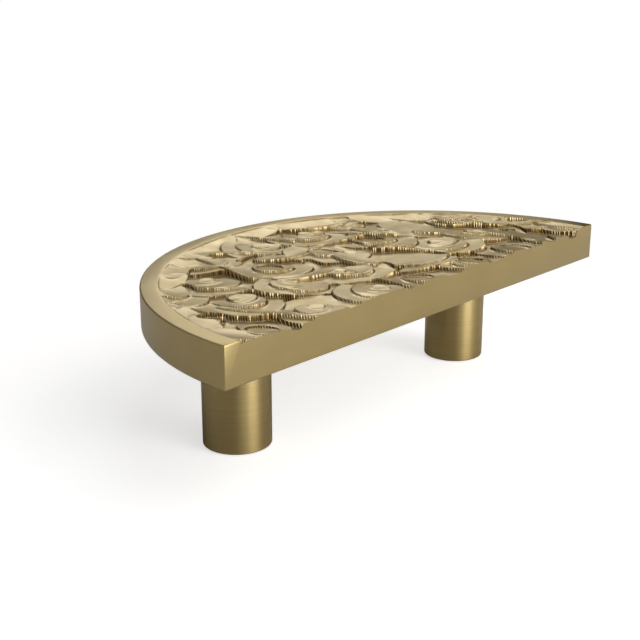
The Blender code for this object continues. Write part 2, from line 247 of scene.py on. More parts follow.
def carving_motifs():
    """All the motifs that stand up and all those that are cut in."""
    raised = []
    sunk = []
    reach = PLATE_RADIUS - RIM_WIDTH / 2
    for x, y, vary in honeycomb(layer=1, across=0, up=0.3, reach=reach):
        ground = scale(x, y, vary)
        raised.append(ground)
        if chosen(SCROLL_SHARE, vary):
            discs, dishes = scroll(ground, vary)
            raised += discs
            sunk += dishes
    for x, y, vary in honeycomb(layer=2, across=0.5, up=0.63, reach=reach):
        if chosen(LEAF_SHARE, vary):
            raised.append(leaf(x, y, vary))
    petals = round(math.pi * PLATE_RADIUS / PETAL_PITCH)
    for k in range(petals):
        vary = variation(layer=4, row=k)
        raised.append(petal(math.pi * (k + 0.5 + 0.15 * vary()) / petals, vary))
    for x, y, vary in honeycomb(layer=3, across=0, up=0.97, reach=reach - GOUGE_WIDTH):
        if y > STRAIGHT_EDGE_Y + GOUGE_LENGTH / 2 and chosen(GOUGE_SHARE, vary):
            sunk.append(gouge(x, y, vary))
    return raised, sunk


def motif_face(motif, x, y, hollow):
    """Whether each point is inside the motif's outline, and the height of its hollowed face there."""
    along = (x - motif.x) * math.cos(motif.heading) + (y - motif.y) * math.sin(motif.heading)
    across = (y - motif.y) * math.cos(motif.heading) - (x - motif.x) * math.sin(motif.heading)
    along = along / (motif.length / 2)
    # The 0.4 keeps a bent motif about its middle.
    across = (across - motif.bend * (along * along - 0.4)) / (motif.width / 2)
    edge = np.sqrt(np.clip(1 - along * along, 0, 1)) * (1 + motif.taper * along)
    inside = (np.abs(along) < 1) & (np.abs(across) < edge)
    bowl = np.clip(1 - along * along - across * across, 0, 1)
    return inside, face_height(motif, x, y) - hollow * bowl


def carved_heights(x, y):
    """The carving's height above the rim at every point of a grid, before the cutter rounds it."""
    heights = np.full(x.shape, -CARVING_DEPTH, np.float32)
    raised, sunk = carving_motifs()
    for number, motif in enumerate(raised + sunk):
        vary = variation(layer=5, row=number)
        # Only the points this near to its middle can be inside the motif.
        near = max(motif.length, motif.width) * 0.65 + abs(motif.bend) + MM
        patch = (np.abs(x - motif.x) < near) & (np.abs(y - motif.y) < near)
        inside, face = motif_face(motif, x[patch], y[patch], FACE_HOLLOW * (0.6 + 0.4 * vary()))
        if number < len(raised):
            cut = np.maximum(heights[patch], np.minimum(face, -CARVING_TOP))
        else:
            cut = np.minimum(heights[patch], np.maximum(face, -CARVING_DEPTH))
        heights[patch] = np.where(inside, cut, heights[patch])
    return heights


def rolled(heights):
    """The lowest heights that a ball can leave: sharp at the top of a wall, filleted at its foot."""
    reach = int(CUTTER_RADIUS / GRID_STEP)
    around = [(row, column) for row in range(-reach, reach + 1) for column in range(-reach, reach + 1)]
    ball = []
    for row, column in around:
        out = math.hypot(row, column) * GRID_STEP
        if out < CUTTER_RADIUS:
            ball.append((row, column, CUTTER_RADIUS - math.sqrt(CUTTER_RADIUS ** 2 - out ** 2)))
    rows, columns = heights.shape
    padded = np.pad(heights, reach, mode="edge")
    lowest = np.full(heights.shape, -1.0, np.float32)
    for row, column, drop in ball:
        under = padded[reach + row:reach + row + rows, reach + column:reach + column + columns]
        lowest = np.maximum(lowest, under - drop)
    padded = np.pad(lowest, reach, mode="edge")
    left = np.full(heights.shape, 1.0, np.float32)
    for row, column, drop in ball:
        over = padded[reach + row:reach + row + rows, reach + column:reach + column + columns]
        left = np.minimum(left, over + drop)
    return left


def milled(heights):
    """What the ball cutter leaves: a fillet at the foot of each wall, and a cusp between two rows
    wherever they end at a wall."""
    left = rolled(heights)
    cusp = np.maximum(left, np.maximum(np.roll(left, 1, axis=1), np.roll(left, -1, axis=1)))
    stands = cusp - left
    stands *= np.clip(stands / LEAST_CUSP, 0, 1)
    left[::STEPS_PER_ROW] += stands[::STEPS_PER_ROW]
    return np.minimum(left, -RIM_LIP)


def new_object(name, mesh, materials=()):
    made = bpy.data.objects.new(name, mesh)
    bpy.context.scene.collection.objects.link(made)
    for material in materials:
        mesh.materials.append(material)
    return made


def prism(name, outline, bottom, top):
    """A closed prism over an outline of (x, y)."""
    shape = bmesh.new()
    lower = [shape.verts.new((x, y, bottom)) for x, y in outline]
    upper = [shape.verts.new((x, y, top)) for x, y in outline]
    shape.faces.new(lower)
    shape.faces.new(upper)
    for k in range(len(outline)):
        after = (k + 1) % len(outline)
        shape.faces.new((lower[k], lower[after], upper[after], upper[k]))
    bmesh.ops.recalc_face_normals(shape, faces=shape.faces)
    mesh = bpy.data.meshes.new(name)
    shape.to_mesh(mesh)
    shape.free()
    return mesh


def arc(radius, start, end, sides):
    """Points of a circular arc about the middle of the straight edge."""
    turns = [start + (end - start) * k / sides for k in range(sides + 1)]
    return [(radius * math.cos(t), STRAIGHT_EDGE_Y + radius * math.sin(t)) for t in turns]


def turned(name, profile, sides, x, y):
    """Turns a closed profile of (radius, z) round the upright axis at x, y; radius 0 is the axis."""
    shape = bmesh.new()
    rings = []
    for radius, z in profile:
        if radius == 0:
            rings.append([shape.verts.new((x, y, z))] * sides)
            continue
        turns = [2 * math.pi * k / sides for k in range(sides)]
        ring = [(x + radius * math.cos(t), y + radius * math.sin(t), z) for t in turns]
        rings.append([shape.verts.new(point) for point in ring])
    for here, there in zip(rings, rings[1:] + rings[:1]):
        for k in range(sides):
            after = (k + 1) % sides
            corners = list(dict.fromkeys((here[k], here[after], there[after], there[k])))
            if len(corners) > 2:
                shape.faces.new(corners)
    bmesh.ops.recalc_face_normals(shape, faces=shape.faces)
    mesh = bpy.data.meshes.new(name)
    shape.to_mesh(mesh)
    shape.free()
    return mesh


def grid_block(name, x, y, z, keep, bottom):
    """A closed block with a grid of heights on top, over the points of the grid that keep marks."""
    number = np.full(x.shape, -1, np.int64)
    number[keep] = np.arange(keep.sum())
    whole = keep[:-1, :-1] & keep[1:, :-1] & keep[1:, 1:] & keep[:-1, 1:]
    row, column = np.nonzero(whole)
    faces = np.stack([number[row + 1, column], number[row + 1, column + 1],
                      number[row, column + 1], number[row, column]], -1)
    points = np.stack([x[keep], y[keep], z[keep]], -1)
    mesh = bpy.data.meshes.new(name)
    mesh.vertices.add(len(points))
    mesh.vertices.foreach_set("co", points.astype(np.float32).ravel())
    mesh.loops.add(faces.size)
    mesh.loops.foreach_set("vertex_index", faces.astype(np.int32).ravel())
    mesh.polygons.add(len(faces))
    mesh.polygons.foreach_set("loop_start", np.arange(0, faces.size, 4, dtype=np.int32))
    mesh.update()
    shape = bmesh.new()
    shape.from_mesh(mesh)
    bmesh.ops.delete(shape, geom=[v for v in shape.verts if not v.link_faces], context="VERTS")
    for face in shape.faces:
        face.material_index = 1
    boundary = [edge for edge in shape.edges if edge.is_boundary]
    skirt = bmesh.ops.extrude_edge_only(shape, edges=boundary)["geom"]
    for part in skirt:
        if isinstance(part, bmesh.types.BMVert):
            part.co.z = bottom
    bmesh.ops.holes_fill(shape, edges=[edge for edge in shape.edges if edge.is_boundary])
    bmesh.ops.recalc_face_normals(shape, faces=shape.faces)
    shape.to_mesh(mesh)
    shape.free()
    return mesh


def combine(target, operation, other):
    boolean = target.modifiers.new(operation.lower(), "BOOLEAN")
    boolean.solver = "MANIFOLD"
    boolean.operation = operation
    boolean.object = other


def finish(made, helpers=()):
    """Turns an object's modifiers into its mesh and removes the helpers they used."""
    depsgraph = bpy.context.evaluated_depsgraph_get()
    mesh = bpy.data.meshes.new_from_object(made.evaluated_get(depsgraph))
    made.modifiers.clear()
    made.data = mesh
    for helper in helpers:
        bpy.data.objects.remove(helper)


def smooth(made, sharp_from):
    """Shades an object smooth, but for edges sharper than an angle in degrees."""
    made.data.shade_smooth()
    made.data.set_sharp_from_angle(angle=math.radians(sharp_from))


def colour(code):
    """An sRGB hex colour as linear RGBA."""
    parts = [int(code[k:k + 2], 16) / 255 for k in (1, 3, 5)]
    return (*[p / 12.92 if p <= 0.04045 else ((p + 0.055) / 1.055) ** 2.4 for p in parts], 1)


def add_node(tree, kind, inputs=None, **settings):
    """Adds a node. inputs gives a value or an output socket for each input, by name or, where a
    node has several inputs of one name, by number."""
    node = tree.nodes.new(kind)
    for name, value in settings.items():
        setattr(node, name, value)
    for key, value in (inputs or {}).items():
        if isinstance(value, bpy.types.NodeSocket):
            tree.links.new(value, node.inputs[key])
        else:
            node.inputs[key].default_value = value
    return node


# The plate's colours, and its marks as counts to the millimetre
BRASS_PALE = "#DAC79D"
BRASS_WARM = "#BFAA78"
BRASS_SHADE = "#B39F6D"
# Brown painted on the carving's walls as shade, stronger further below the rim
BRASS_PAINTED_SHADE = "#5E4927"
PAINTED_SHADE_DEPTHS = (0.3 * MM, 1.0 * MM)    # depths below the rim where the walls' painted shade starts, and where it is full brown
FACE_UPRIGHT = 0.92             # a place whose normal has this upright part, or more, is all face, without painted shade
WALL_UPRIGHT = 0.75             # and with this, or less, it is all wall, where the painted shade can be full
FLAT_UPRIGHT = 0.7              # brushed places with more than this are flats, the others are sides
SIDE_LINES = 9 / MM             # brush lines, counted across them
TOP_LINES = 6 / MM
LINES_ALONG = 0.06 / MM         # and along them, so each is about 17 mm long
LINE_SHARE = 0.6                # of the lines in the tone, the rest being the cloud's
BRUSHED_CLOUDS = 0.09 / MM
MILLED_CLOUDS = 0.18 / MM
HATCH_SHARE = 0.3
CUSP_HIGHLIGHT = (0.98, 0.75)      # heights of the hatch at which a wall's cusp is left pale as a painted highlight, and painted brown as shade
MARK_HEIGHT = 0.02 * MM
LINE_BUMP = 0.07
HATCH_BUMP = 0.2
BRUSHED_ROUGHNESS = (0.30, 0.42)
SATIN_ROUGHNESS = 0.36
BRUSH_SPREAD = 0.45             # how much further the gloss spreads across the lines than along them


def across_brush(tree, shader, strength):
    """Spreads the gloss across brush lines that run level: up and down on a side, and along Y on a
    flat, which the small part along Y is for."""
    across = add_node(tree, "ShaderNodeCombineXYZ", {"Y": 0.02, "Z": 1.0}).outputs[0]
    tree.links.new(across, shader.inputs["Tangent"])
    shader.inputs["Anisotropic"].default_value = strength


def brushed_brass():
    """Plate brass, CuZn37, drawn over a fine belt and lacquered: faint lines follow each edge, so
    the gloss spreads across them and the colour is an even, greyed yellow. The lines are drawn
    about three times as coarse as the belt's own, so that they show."""
    material = bpy.data.materials.new("brushed_plate_brass")
    material.use_nodes = True
    tree = material.node_tree
    shader = tree.nodes["Principled BSDF"]
    place = add_node(tree, "ShaderNodeTexCoord").outputs["Object"]
    normal = add_node(tree, "ShaderNodeNewGeometry").outputs["Normal"]
    upright = add_node(tree, "ShaderNodeSeparateXYZ", {0: normal}).outputs["Z"]
    flat = add_node(tree, "ShaderNodeMath", {0: upright}, operation="ABSOLUTE").outputs[0]
    flat = add_node(tree, "ShaderNodeMath", {0: flat, 1: FLAT_UPRIGHT}, operation="GREATER_THAN").outputs[0]
    side_lines = add_node(tree, "ShaderNodeMapping",
                          {"Vector": place, "Scale": (LINES_ALONG, LINES_ALONG, SIDE_LINES)}).outputs[0]
    top_lines = add_node(tree, "ShaderNodeMapping",
                         {"Vector": place, "Scale": (LINES_ALONG, TOP_LINES, LINES_ALONG)}).outputs[0]
    lines = add_node(tree, "ShaderNodeMix", {0: flat, 4: side_lines, 5: top_lines},
                     data_type="VECTOR").outputs[1]
    grain = add_node(tree, "ShaderNodeTexNoise",
                     {"Vector": lines, "Scale": 1.0, "Detail": 3.0}).outputs["Fac"]
    cloud = add_node(tree, "ShaderNodeTexNoise",
                     {"Vector": place, "Scale": BRUSHED_CLOUDS, "Detail": 2.0}).outputs["Fac"]
    tone = add_node(tree, "ShaderNodeMath", {0: grain, 1: LINE_SHARE}, operation="MULTIPLY").outputs[0]
    tone = add_node(tree, "ShaderNodeMath", {0: cloud, 1: 1 - LINE_SHARE, 2: tone},
                    operation="MULTIPLY_ADD").outputs[0]
    ramp = add_node(tree, "ShaderNodeValToRGB", {0: tone})
    ramp.color_ramp.elements[0].position = 0.3
    ramp.color_ramp.elements[0].color = colour(BRASS_SHADE)
    ramp.color_ramp.elements[1].position = 0.7
    ramp.color_ramp.elements[1].color = colour(BRASS_WARM)
    tree.links.new(ramp.outputs["Color"], shader.inputs["Base Color"])
    shader.inputs["Metallic"].default_value = 1
    rough = add_node(tree, "ShaderNodeMapRange", {"Value": grain, "To Min": BRUSHED_ROUGHNESS[0],
                                                     "To Max": BRUSHED_ROUGHNESS[1]})
    tree.links.new(rough.outputs[0], shader.inputs["Roughness"])
    bump = add_node(tree, "ShaderNodeBump",
                    {"Height": grain, "Strength": LINE_BUMP, "Distance": MARK_HEIGHT})
    tree.links.new(bump.outputs[0], shader.inputs["Normal"])
    across_brush(tree, shader, BRUSH_SPREAD)
    return material


def milled_brass():
    """The carved brass: cut bright by the ball cutter. The faces are pale brass with a faint hatch
    from the cutter's rows, while the walls are painted brown as shade, more so further below the rim,
    with painted highlights left pale on the cusps that the rows leave on them."""
    material = bpy.data.materials.new("milled_plate_brass")
    material.use_nodes = True
    tree = material.node_tree
    shader = tree.nodes["Principled BSDF"]
    place = add_node(tree, "ShaderNodeTexCoord").outputs["Object"]
    cloud = add_node(tree, "ShaderNodeTexNoise",
                     {"Vector": place, "Scale": MILLED_CLOUDS, "Detail": 3.0}).outputs["Fac"]
    rows = add_node(tree, "ShaderNodeMapping", {"Vector": place, "Location": (0, ROW_PITCH / 2, 0),
                                                "Rotation": (0, 0, -ROW_TURN)}).outputs[0]
    # A wave texture of scale 1 repeats every pi / 10 metres.
    hatch = add_node(tree, "ShaderNodeTexWave", {"Vector": rows, "Scale": math.pi / (10 * ROW_PITCH)},
                     bands_direction="Y").outputs["Fac"]
    tone = add_node(tree, "ShaderNodeMath", {0: hatch, 1: HATCH_SHARE, 2: cloud},
                    operation="MULTIPLY_ADD").outputs[0]
    tone = add_node(tree, "ShaderNodeMath", {0: tone, 1: HATCH_SHARE / 2},
                    operation="SUBTRACT").outputs[0]
    ramp = add_node(tree, "ShaderNodeValToRGB", {0: tone})
    ramp.color_ramp.elements[0].position = 0.35
    ramp.color_ramp.elements[0].color = colour(BRASS_SHADE)
    ramp.color_ramp.elements[1].position = 0.65
    ramp.color_ramp.elements[1].color = colour(BRASS_PALE)
    # Painted shade: walls turn brown as they lean from upright and sink below the rim, and their cusps stay
    # pale as painted highlights
    parts = add_node(tree, "ShaderNodeSeparateXYZ", {0: place}).outputs
    normal = add_node(tree, "ShaderNodeNewGeometry").outputs["Normal"]
    upright = add_node(tree, "ShaderNodeSeparateXYZ", {0: normal}).outputs["Z"]
    wall = add_node(tree, "ShaderNodeMapRange",
                    {"Value": upright, "From Min": FACE_UPRIGHT, "From Max": WALL_UPRIGHT}).outputs[0]
    deep = add_node(tree, "ShaderNodeMapRange",
                    {"Value": parts["Z"], "From Min": RIM_Z - PAINTED_SHADE_DEPTHS[0],
                     "From Max": RIM_Z - PAINTED_SHADE_DEPTHS[1]}).outputs[0]
    flute = add_node(tree, "ShaderNodeMapRange",
                     {"Value": hatch, "From Min": CUSP_HIGHLIGHT[0], "From Max": CUSP_HIGHLIGHT[1]}).outputs[0]
    painted_shade = add_node(tree, "ShaderNodeMath", {0: wall, 1: flute}, operation="MULTIPLY").outputs[0]
    painted_shade = add_node(tree, "ShaderNodeMath", {0: painted_shade, 1: deep}, operation="MULTIPLY").outputs[0]
    brass = add_node(tree, "ShaderNodeMix", {0: painted_shade, 6: ramp.outputs["Color"], 7: colour(BRASS_PAINTED_SHADE)},
                     data_type="RGBA").outputs[2]
    tree.links.new(brass, shader.inputs["Base Color"])
    shader.inputs["Metallic"].default_value = 1
    shader.inputs["Roughness"].default_value = SATIN_ROUGHNESS
    bump = add_node(tree, "ShaderNodeBump",
                    {"Height": hatch, "Strength": HATCH_BUMP, "Distance": MARK_HEIGHT})
    tree.links.new(bump.outputs[0], shader.inputs["Normal"])
    return material


def axis_of(side):
    low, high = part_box(side + "_post")
    return (low.x + high.x) / 2, (low.y + high.y) / 2


def tapped_radius(side):
    low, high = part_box(side + "_joining_screw")
    return (high.x - low.x) / 2 + CLEARANCE


def rings_along(radius, start, end):
    """Points of a straight wall, close enough to carry a thread."""
    steps = round(abs(end - start) / THREAD_PITCH * RINGS_PER_TURN)
    return [(radius, start + (end - start) * k / steps) for k in range(steps + 1)]


def thread_tree():
    """A tree that runs a right-hand V thread along the wall of a given radius: it draws the wall's
    points in towards the axis, and fades out within one turn of either end."""
    tree = bpy.data.node_groups.new("thread", "GeometryNodeTree")
    tree.interface.new_socket("Geometry", in_out="INPUT", socket_type="NodeSocketGeometry")
    tree.interface.new_socket("Axis", in_out="INPUT", socket_type="NodeSocketVector")
    for name in ("Wall Radius", "Start", "End", "Pitch", "Depth"):
        tree.interface.new_socket(name, in_out="INPUT", socket_type="NodeSocketFloat")
    tree.interface.new_socket("Material", in_out="INPUT", socket_type="NodeSocketMaterial")
    tree.interface.new_socket("Geometry", in_out="OUTPUT", socket_type="NodeSocketGeometry")

    sizes = add_node(tree, "NodeGroupInput").outputs
    place = add_node(tree, "GeometryNodeInputPosition").outputs[0]
    height = add_node(tree, "ShaderNodeSeparateXYZ", {0: place}).outputs["Z"]
    outward = add_node(tree, "ShaderNodeVectorMath", {0: place, 1: sizes["Axis"]},
                       operation="SUBTRACT").outputs[0]
    outward = add_node(tree, "ShaderNodeVectorMath", {0: outward, 1: (1, 1, 0)},
                       operation="MULTIPLY").outputs[0]
    radius = add_node(tree, "ShaderNodeVectorMath", {0: outward}, operation="LENGTH").outputs["Value"]
    near_wall = 0.02 * MM
    wall = add_node(tree, "ShaderNodeMath", {0: radius, 1: sizes["Wall Radius"], 2: near_wall},
                    operation="COMPARE").outputs[0]
    parts = add_node(tree, "ShaderNodeSeparateXYZ", {0: outward}).outputs
    turn = add_node(tree, "ShaderNodeMath", {0: parts["Y"], 1: parts["X"]},
                    operation="ARCTAN2").outputs[0]
    turn = add_node(tree, "ShaderNodeMath", {0: turn, 1: 2 * math.pi}, operation="DIVIDE").outputs[0]
    # groove runs from 0, where the wall stays, to 0.5, where it is drawn in furthest.
    groove = add_node(tree, "ShaderNodeMath", {0: height, 1: sizes["Pitch"]},
                      operation="DIVIDE").outputs[0]
    groove = add_node(tree, "ShaderNodeMath", {0: groove, 1: turn}, operation="SUBTRACT").outputs[0]
    groove = add_node(tree, "ShaderNodeMath", {0: groove, 1: 0.5}, operation="PINGPONG").outputs[0]
    inward = add_node(tree, "ShaderNodeMath", {0: groove, 1: -2.0}, operation="MULTIPLY").outputs[0]
    inward = add_node(tree, "ShaderNodeMath", {0: inward, 1: sizes["Depth"]},
                      operation="MULTIPLY").outputs[0]
    for far, near in ((height, sizes["Start"]), (sizes["End"], height)):
        fade = add_node(tree, "ShaderNodeMath", {0: far, 1: near}, operation="SUBTRACT").outputs[0]
        fade = add_node(tree, "ShaderNodeMath", {0: fade, 1: sizes["Pitch"]},
                        operation="DIVIDE", use_clamp=True).outputs[0]
        inward = add_node(tree, "ShaderNodeMath", {0: inward, 1: fade}, operation="MULTIPLY").outputs[0]
    outward = add_node(tree, "ShaderNodeVectorMath", {0: outward}, operation="NORMALIZE").outputs[0]
    offset = add_node(tree, "ShaderNodeVectorMath", {0: outward, "Scale": inward},
                      operation="SCALE").outputs[0]
    moved = add_node(tree, "GeometryNodeSetPosition",
                     {"Geometry": sizes["Geometry"], "Selection": wall, "Offset": offset})
    real = add_node(tree, "GeometryNodeRealizeInstances", {0: moved.outputs[0]})
    coated = add_node(tree, "GeometryNodeSetMaterial",
                      {"Geometry": real.outputs[0], "Material": sizes["Material"]})
    add_node(tree, "NodeGroupOutput", {0: coated.outputs[0]})
    return tree


thread = thread_tree()


def cut_thread(made, side, radius, start, end, material):
    cut = made.modifiers.new("thread", "NODES")
    cut.node_group = thread
    values = {"Axis": (*axis_of(side), 0), "Wall Radius": radius, "Start": start, "End": end,
              "Pitch": THREAD_PITCH, "Depth": THREAD_DEPTH, "Material": material}
    for socket in thread.interface.items_tree:
        if socket.name in values:
            cut[socket.identifier] = values[socket.name]


def seat_drill(side, material):
    """The shape of a post's seat in the plate's underside, with the tapped hole above it."""
    seat_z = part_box(side + "_post")[1].z + CLEARANCE
    hole_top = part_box(side + "_joining_screw")[1].z + CLEARANCE
    post_low, post_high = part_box(side + "_post")
    seat = (post_high.x - post_low.x) / 2 + CLEARANCE
    hole = tapped_radius(side)
    profile = [(0, UNDERSIDE_Z - MM), (seat, UNDERSIDE_Z - MM), (seat, seat_z)]
    profile += rings_along(hole, seat_z, hole_top) + [(0, hole_top)]
    drill = new_object("seat_drill", turned("seat_drill", profile, SEAT_SIDES, *axis_of(side)))
    cut_thread(drill, side, hole, seat_z, hole_top, material)
    return drill


def relief_plate():
    reach = PLATE_RADIUS - RIM_WIDTH + UNDER_RIM
    # The rows lie at whole multiples of their pitch from the origin, as the hatch does, and the
    # first is at least 3 mm before the plate.
    offset = STRAIGHT_EDGE_Y * math.cos(ROW_TURN)
    first_row = math.floor((offset - reach * math.sin(ROW_TURN) - 3 * MM) / ROW_PITCH) * ROW_PITCH
    across = np.arange(first_row - offset, reach + PAST_EDGE, GRID_STEP)
    along = np.arange(-reach - PAST_EDGE, reach + PAST_EDGE, GRID_STEP)
    across, along = np.meshgrid(across, along, indexing="ij")
    x = along * math.cos(ROW_TURN) - across * math.sin(ROW_TURN)
    y = along * math.sin(ROW_TURN) + across * math.cos(ROW_TURN)
    heights = carved_heights(x, y + STRAIGHT_EDGE_Y)
    heights[np.hypot(x, y) > PLATE_RADIUS - RIM_WIDTH] = 0
    z = RIM_Z + milled(heights)
    keep = (np.hypot(x, y) < reach) & (y > -PAST_EDGE)
    finishes = [brushed_brass(), milled_brass()]
    bottom = UNDERSIDE_Z - 2 * PAST_EDGE
    mesh = grid_block("relief_plate_carved", x, y + STRAIGHT_EDGE_Y, z, keep, bottom)
    plate = new_object("relief_plate_carved", mesh, finishes)
    thin = plate.modifiers.new("thin", "DECIMATE")
    thin.ratio = CARVED_TRIANGLES / (2 * len(mesh.polygons))

    spread = 0.2    # radians by which the rim's ring runs on past each end of the round edge
    rim = arc(PLATE_RADIUS + PAST_EDGE, -spread, math.pi + spread, ARC_SIDES)
    rim += arc(PLATE_RADIUS - RIM_WIDTH + RIM_INSET, -spread, math.pi + spread, ARC_SIDES)[::-1]
    ring = new_object("rim", prism("rim", rim, UNDERSIDE_Z - 3 * MM, RIM_Z + MM), finishes)
    combine(plate, "UNION", ring)
    outline = prism("outline", arc(PLATE_RADIUS, 0, math.pi, ARC_SIDES), UNDERSIDE_Z, RIM_Z)
    outline = new_object("outline", outline, finishes)
    broken = outline.modifiers.new("broken_edges", "BEVEL")
    broken.width = PLATE_EDGE
    broken.segments = 3
    broken.limit_method = "ANGLE"
    broken.angle_limit = math.radians(40)
    combine(plate, "INTERSECT", outline)
    helpers = [ring, outline]
    for side in ("left", "right"):
        drill = seat_drill(side, finishes[0])
        combine(plate, "DIFFERENCE", drill)
        helpers.append(drill)
    finish(plate, helpers)
    smooth(plate, sharp_from=35)
    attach(plate, "root")
    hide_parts("relief_plate")


relief_plate()

# The posts: brass rod faced to length in a lathe, its ends rounded, drilled and tapped M4 from end
# to end. Their tops sit in the plate's seats.
POST_EDGE = 0.4 * MM
POST_SIDES = 96
ROD_WARM = "#BAA573"
ROD_SHADE = "#AE9A68"
RINGS = 7 / MM                  # left by the lathe tool, drawn about twice as coarse so that they show
RINGS_ALONG = 0.04 / MM
RING_SPREAD = 0.9               # how much further the gloss spreads across the rings than along them


def turned_brass():
    """Free-cutting brass rod, CuZn39Pb3, turned and satined: fine rings run round it, so a light
    draws out into a long upright streak."""
    material = bpy.data.materials.new("turned_rod_brass")
    material.use_nodes = True
    tree = material.node_tree
    shader = tree.nodes["Principled BSDF"]
    place = add_node(tree, "ShaderNodeTexCoord").outputs["Object"]
    rings = add_node(tree, "ShaderNodeMapping",
                     {"Vector": place, "Scale": (RINGS_ALONG, RINGS_ALONG, RINGS)}).outputs[0]
    grain = add_node(tree, "ShaderNodeTexNoise",
                     {"Vector": rings, "Scale": 1.0, "Detail": 3.0}).outputs["Fac"]
    ramp = add_node(tree, "ShaderNodeValToRGB", {0: grain})
    ramp.color_ramp.elements[0].position = 0.3
    ramp.color_ramp.elements[0].color = colour(ROD_SHADE)
    ramp.color_ramp.elements[1].position = 0.7
    ramp.color_ramp.elements[1].color = colour(ROD_WARM)
    tree.links.new(ramp.outputs["Color"], shader.inputs["Base Color"])
    shader.inputs["Metallic"].default_value = 1
    shader.inputs["Roughness"].default_value = SATIN_ROUGHNESS
    bump = add_node(tree, "ShaderNodeBump",
                    {"Height": grain, "Strength": LINE_BUMP, "Distance": MARK_HEIGHT})
    tree.links.new(bump.outputs[0], shader.inputs["Normal"])
    across_brush(tree, shader, RING_SPREAD)
    return material


def rounded_edge(radius, z, edge, up):
    """Points of a quarter circle that rounds a rod's end: from its flat to its side at the foot
    (up is 1), or from its side to its flat at the top (up is -1)."""
    turns = [math.pi / 2 * k / 4 for k in range(5)]
    inner = radius - edge
    points = [(inner + edge * math.sin(t), z + up * edge * (1 - math.cos(t))) for t in turns]
    return points if up > 0 else points[::-1]


def post(side, material):
    low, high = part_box(side + "_post")
    bore = tapped_radius(side)
    radius = (high.x - low.x) / 2
    profile = [(bore + BORE_MOUTH, low.z)] + rounded_edge(radius, low.z, POST_EDGE, 1)
    profile += rounded_edge(radius, high.z, POST_EDGE, -1) + [(bore + BORE_MOUTH, high.z)]
    profile += rings_along(bore, high.z - BORE_MOUTH, low.z + BORE_MOUTH)
    name = side + "_post_turned"
    made = new_object(name, turned(name, profile, POST_SIDES, *axis_of(side)))
    cut_thread(made, side, bore, low.z + BORE_MOUTH, high.z - BORE_MOUTH, material)
    finish(made)
    smooth(made, sharp_from=30)
    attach(made, "root")
    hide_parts(side + "_post")


rod_brass = turned_brass()
post("left", rod_brass)
post("right", rod_brass)

# The joining screws: headless M4 set screws of zinc-plated steel, rolled along their whole length
# with a hexagon socket in the lower end. Half of each sits in its post and half in the plate.
SCREW_EDGE = 0.3 * MM
SCREW_SIDES = 48
SOCKET_ACROSS_FLATS = 2.0 * MM
SOCKET_DEPTH = 2.4 * MM
ZINC_DULL = "#A9ADB1"
ZINC_BRIGHT = "#C6C9CC"
ZINC_CLOUDS = 0.9 / MM
ZINC_ROUGHNESS = (0.28, 0.4)


def zinc_plated_steel():
    """Steel with a blue-passivated zinc plating, 8 microns thick: a cool grey that is faintly cloudy."""
    material = bpy.data.materials.new("zinc_plated_steel")
    material.use_nodes = True
    tree = material.node_tree
    shader = tree.nodes["Principled BSDF"]
    place = add_node(tree, "ShaderNodeTexCoord").outputs["Object"]
    cloud = add_node(tree, "ShaderNodeTexNoise",
                     {"Vector": place, "Scale": ZINC_CLOUDS, "Detail": 4.0}).outputs["Fac"]
    ramp = add_node(tree, "ShaderNodeValToRGB", {0: cloud})
    ramp.color_ramp.elements[0].position = 0.35
    ramp.color_ramp.elements[0].color = colour(ZINC_DULL)
    ramp.color_ramp.elements[1].position = 0.65
    ramp.color_ramp.elements[1].color = colour(ZINC_BRIGHT)
    tree.links.new(ramp.outputs["Color"], shader.inputs["Base Color"])
    shader.inputs["Metallic"].default_value = 1
    rough = add_node(tree, "ShaderNodeMapRange", {"Value": cloud, "To Min": ZINC_ROUGHNESS[0],
                                                     "To Max": ZINC_ROUGHNESS[1]})
    tree.links.new(rough.outputs[0], shader.inputs["Roughness"])
    return material


def joining_screw(side, material):
    name = side + "_joining_screw_threaded"
    low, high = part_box(side + "_joining_screw")
    radius = (high.x - low.x) / 2
    profile = [(0, low.z), (radius - SCREW_EDGE, low.z)]
    profile += rings_along(radius, low.z + SCREW_EDGE, high.z - SCREW_EDGE)
    profile += [(radius - SCREW_EDGE, high.z), (0, high.z)]
    made = new_object(name, turned(name, profile, SCREW_SIDES, *axis_of(side)))
    cut_thread(made, side, radius, low.z + SCREW_EDGE, high.z - SCREW_EDGE, material)
    corner = SOCKET_ACROSS_FLATS / math.sqrt(3)
    x, y = axis_of(side)
    turns = [math.radians(60 * k) for k in range(6)]
    corners = [(x + corner * math.cos(t), y + corner * math.sin(t)) for t in turns]
    socket = new_object("socket", prism("socket", corners, low.z - MM, low.z + SOCKET_DEPTH), [material])
    combine(made, "DIFFERENCE", socket)
    finish(made, [socket])
    smooth(made, sharp_from=30)
    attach(made, "root")
    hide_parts(side + "_joining_screw")


screw_steel = zinc_plated_steel()
joining_screw("left", screw_steel)
joining_screw("right", screw_steel)

# The ground that the pull stands on: matt white board. The eye sees it run out into plain white
# past the shadow, and the metal sees the same white further out.
FLOOR_SIZE = 4.0
BOARD_COLOUR = "#D6D6D6"
FLOOR_BELOW = 0.2 * MM
SHADOW_REACH = (75 * MM, 125 * MM)      # from the middle: where the shadow starts to fade, and ends
GLOSS_REACH = (250 * MM, 600 * MM)      # where the board that the metal sees starts to turn white, and is
BOARD_LIFT = 0.65               # light added to the board for the eye alone, so that it reads as white
floor_mesh = bpy.data.meshes.new("floor")
half = FLOOR_SIZE / 2
floor_mesh.from_pydata([(-half, -half, -FLOOR_BELOW), (half, -half, -FLOOR_BELOW),
                        (half, half, -FLOOR_BELOW), (-half, half, -FLOOR_BELOW)], [], [(0, 1, 2, 3)])


